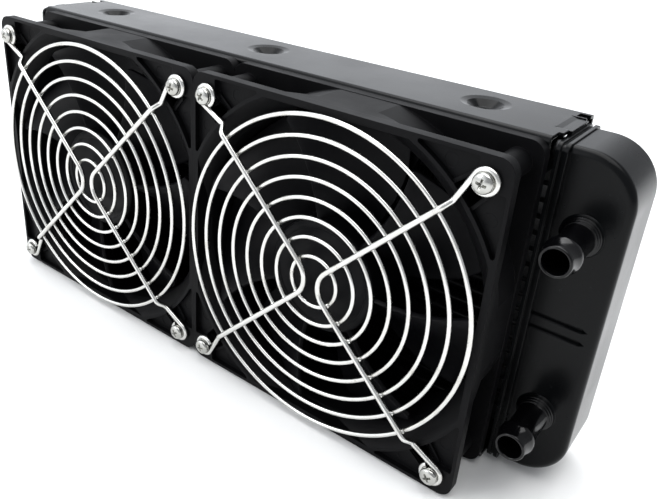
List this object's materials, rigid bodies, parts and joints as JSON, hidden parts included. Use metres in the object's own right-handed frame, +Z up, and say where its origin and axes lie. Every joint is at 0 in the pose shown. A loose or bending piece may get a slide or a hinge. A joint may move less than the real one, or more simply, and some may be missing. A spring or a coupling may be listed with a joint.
{
  "type": "liquid cooling radiator",
  "caption": "Computer liquid cooling radiator with side-by-side cooling fans behind wire finger guards, a black tube-and-fin core, an end tank and a pair of hose barbs.",
  "frame": {"origin": "middle of the bottom of the bounding box, where the radiator stands on its long edge", "axes": "+X along the radiator towards the tank with the hose barbs, +Y from the fans to the back of the core, +Z up"},
  "size_m": [0.2798, 0.065, 0.1216],
  "materials": {
    "painted_aluminium": "semi-gloss black baked paint on aluminium sheet",
    "painted_core": "thin satin black paint on tubes and fins",
    "painted_barb": "gloss black baked paint on turned metal",
    "baffle_aluminium": "plain brazed sheet",
    "frame_plastic": "glass-filled black moulding with a fine satin grain",
    "impeller_plastic": "smooth black moulding",
    "guard_wire": "bright nickel-chrome plated wire",
    "screw_plating": "bright nickel plating",
    "motor_steel": "ground and turned steel",
    "laminations": "stacked electrical steel",
    "windings": "enamelled copper wire",
    "magnet": "rubber-bonded ferrite",
    "board": "green solder mask"
  },
  "bodies": {
    "radiator": {"side_plate_top": "painted_aluminium", "side_plate_bottom": "painted_aluminium", "inlet_tank": "painted_aluminium", "return_tank": "painted_aluminium", "header_plate_inlet": "painted_aluminium", "header_plate_return": "painted_aluminium", "core_supports": "painted_aluminium", "core_tubes": "painted_core", "core_fins": "painted_core", "hose_barb_upper": "painted_barb", "hose_barb_lower": "painted_barb", "tank_baffle": "baffle_aluminium", "fan_frame_left": "frame_plastic", "fan_frame_right": "frame_plastic", "guard_rings_left": "guard_wire", "guard_rings_right": "guard_wire", "guard_spokes_left": "guard_wire", "guard_spokes_right": "guard_wire", "fan_screws_left": "screw_plating", "fan_screws_right": "screw_plating", "front_bearing_left": "motor_steel", "front_bearing_right": "motor_steel", "rear_bearing_left": "motor_steel", "rear_bearing_right": "motor_steel", "stator_core_left": "laminations", "stator_core_right": "laminations", "stator_coils_left": "windings", "stator_coils_right": "windings", "circuit_board_left": "board", "circuit_board_right": "board"},
    "left_rotor": {"impeller_left": "impeller_plastic", "rotor_shaft_left": "motor_steel", "shaft_clip_left": "motor_steel", "rotor_yoke_left": "motor_steel", "rotor_magnet_left": "magnet"},
    "right_rotor": {"impeller_right": "impeller_plastic", "rotor_shaft_right": "motor_steel", "shaft_clip_right": "motor_steel", "rotor_yoke_right": "motor_steel", "rotor_magnet_right": "magnet"}
  },
  "joints": [
    {"name": "left_fan_spin", "type": "hinge", "parent": "radiator", "child": "left_rotor", "pos_m": [-0.0659, -0.01765, 0.0608], "axis": [0, 1, 0], "continuous": true},
    {"name": "right_fan_spin", "type": "hinge", "parent": "radiator", "child": "right_rotor", "pos_m": [0.0541, -0.01765, 0.0608], "axis": [0, 1, 0], "continuous": true}
  ]
}
